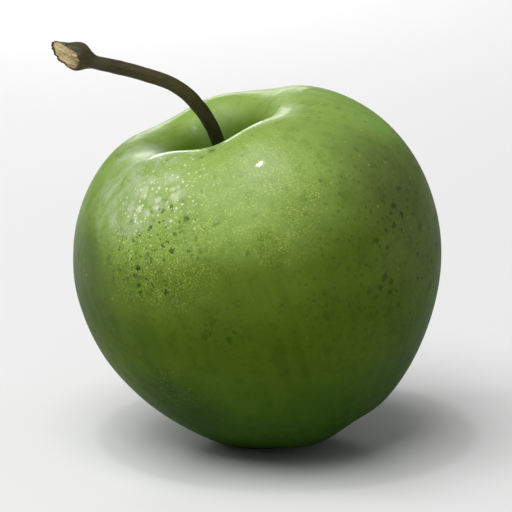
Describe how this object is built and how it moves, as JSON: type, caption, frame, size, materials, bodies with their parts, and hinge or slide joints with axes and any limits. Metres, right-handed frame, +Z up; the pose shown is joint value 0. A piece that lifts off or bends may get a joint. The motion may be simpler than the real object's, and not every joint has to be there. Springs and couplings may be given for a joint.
{
  "type": "apple",
  "caption": "Whole green apple with a long, arched stem and dried sepals, leaning on a small flat spot.",
  "frame": {"origin": "middle of the flat spot the fruit rests on", "axes": "+Z up, out of the surface it rests on; the core leans towards -X and a little towards -Y, and the stem arches towards -X"},
  "size_m": [0.0786, 0.0751, 0.0842],
  "materials": {
    "skin": "waxy green apple skin with lenticels, satin",
    "bark": "dark olive-brown woody stem, matt",
    "sepal": "dry papery brown, matt"
  },
  "bodies": {
    "root": {"fruit": "skin", "stem": "bark", "sepal_1": "sepal", "sepal_2": "sepal", "sepal_3": "sepal", "sepal_4": "sepal", "sepal_5": "sepal"}
  },
  "joints": []
}
